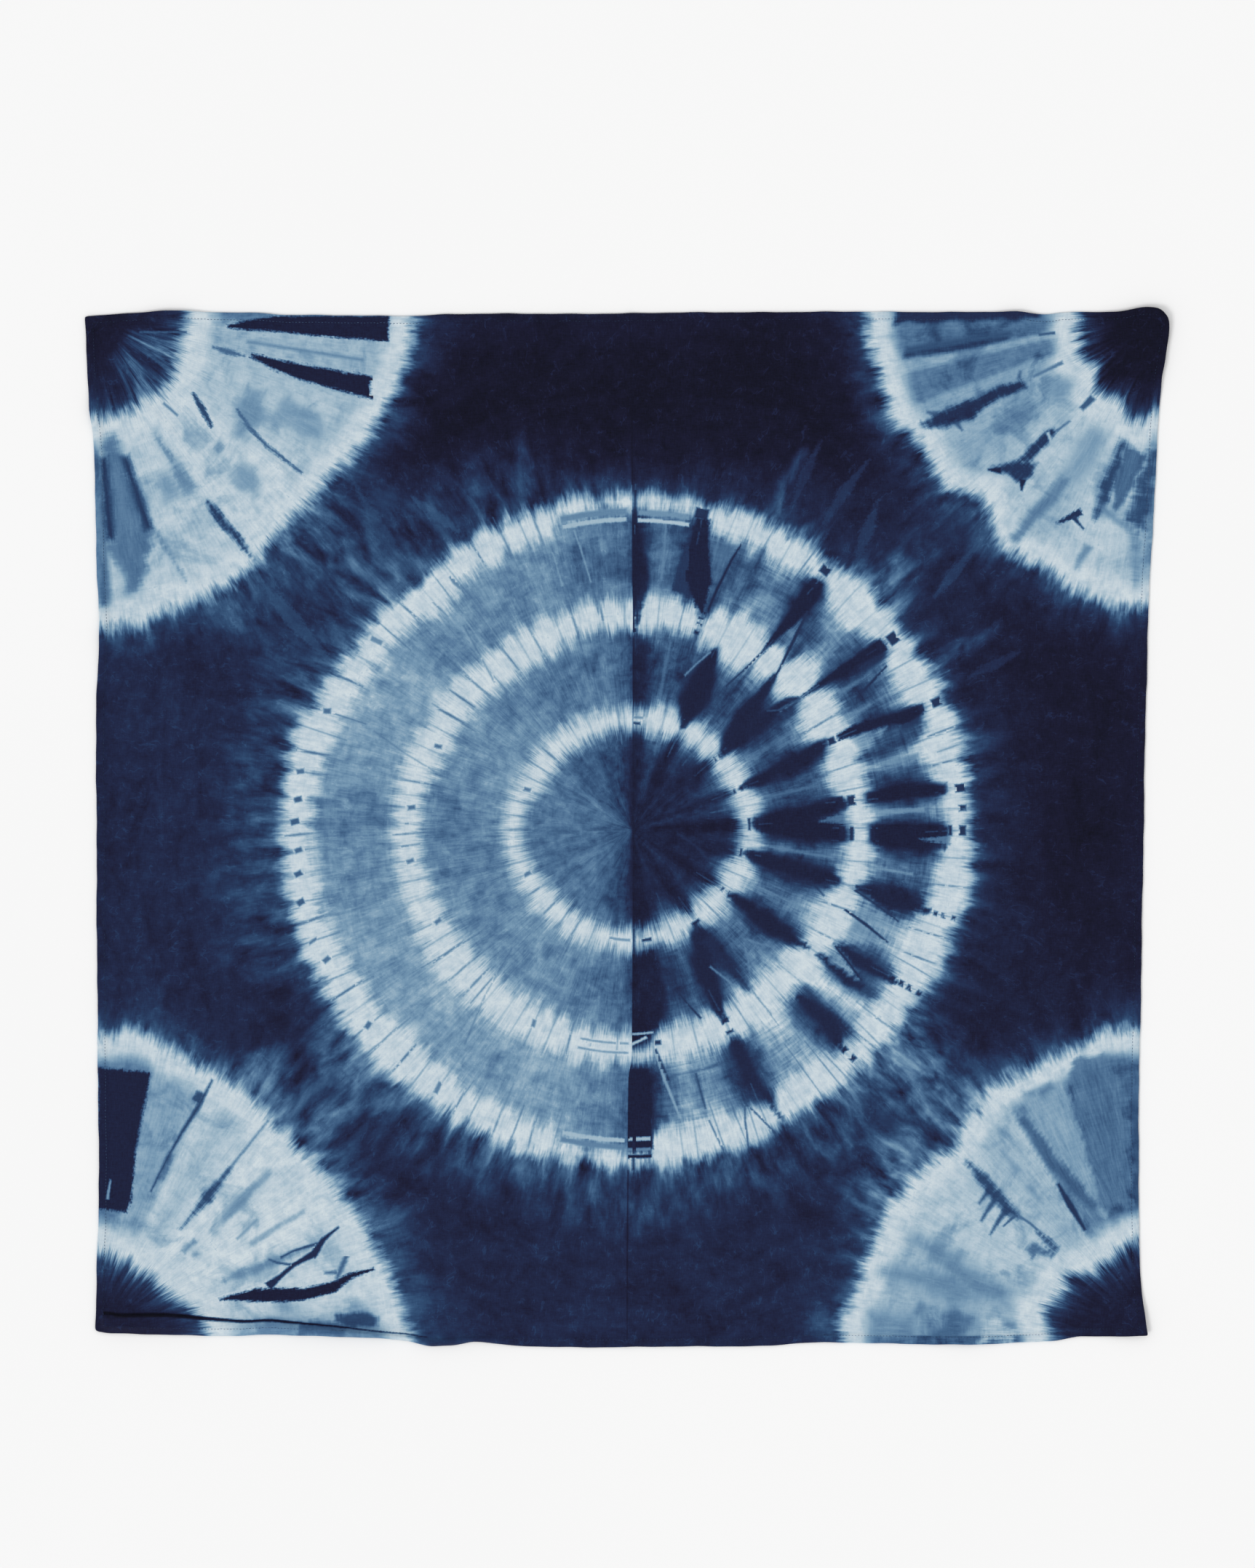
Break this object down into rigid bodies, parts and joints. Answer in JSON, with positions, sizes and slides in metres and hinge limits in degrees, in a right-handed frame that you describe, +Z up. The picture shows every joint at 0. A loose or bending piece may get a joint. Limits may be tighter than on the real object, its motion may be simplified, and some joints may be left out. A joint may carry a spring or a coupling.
{
  "type": "furoshiki wrapping cloth",
  "caption": "Square cotton wrapping cloth with a stitched hem all round, spread out flat, for wrapping, carrying and tying round things.",
  "frame": {"origin": "middle of the cloth's box, on the surface that the cloth lies on", "axes": "+Z up, out of the face that shows; +X to the right along the upper hem; +Y towards the upper hem"},
  "size_m": [0.9225, 0.8859, 0.0068],
  "materials": {
    "indigo_cotton": "matt"
  },
  "bodies": {
    "root": {"cloth": "indigo_cotton"}
  },
  "joints": []
}
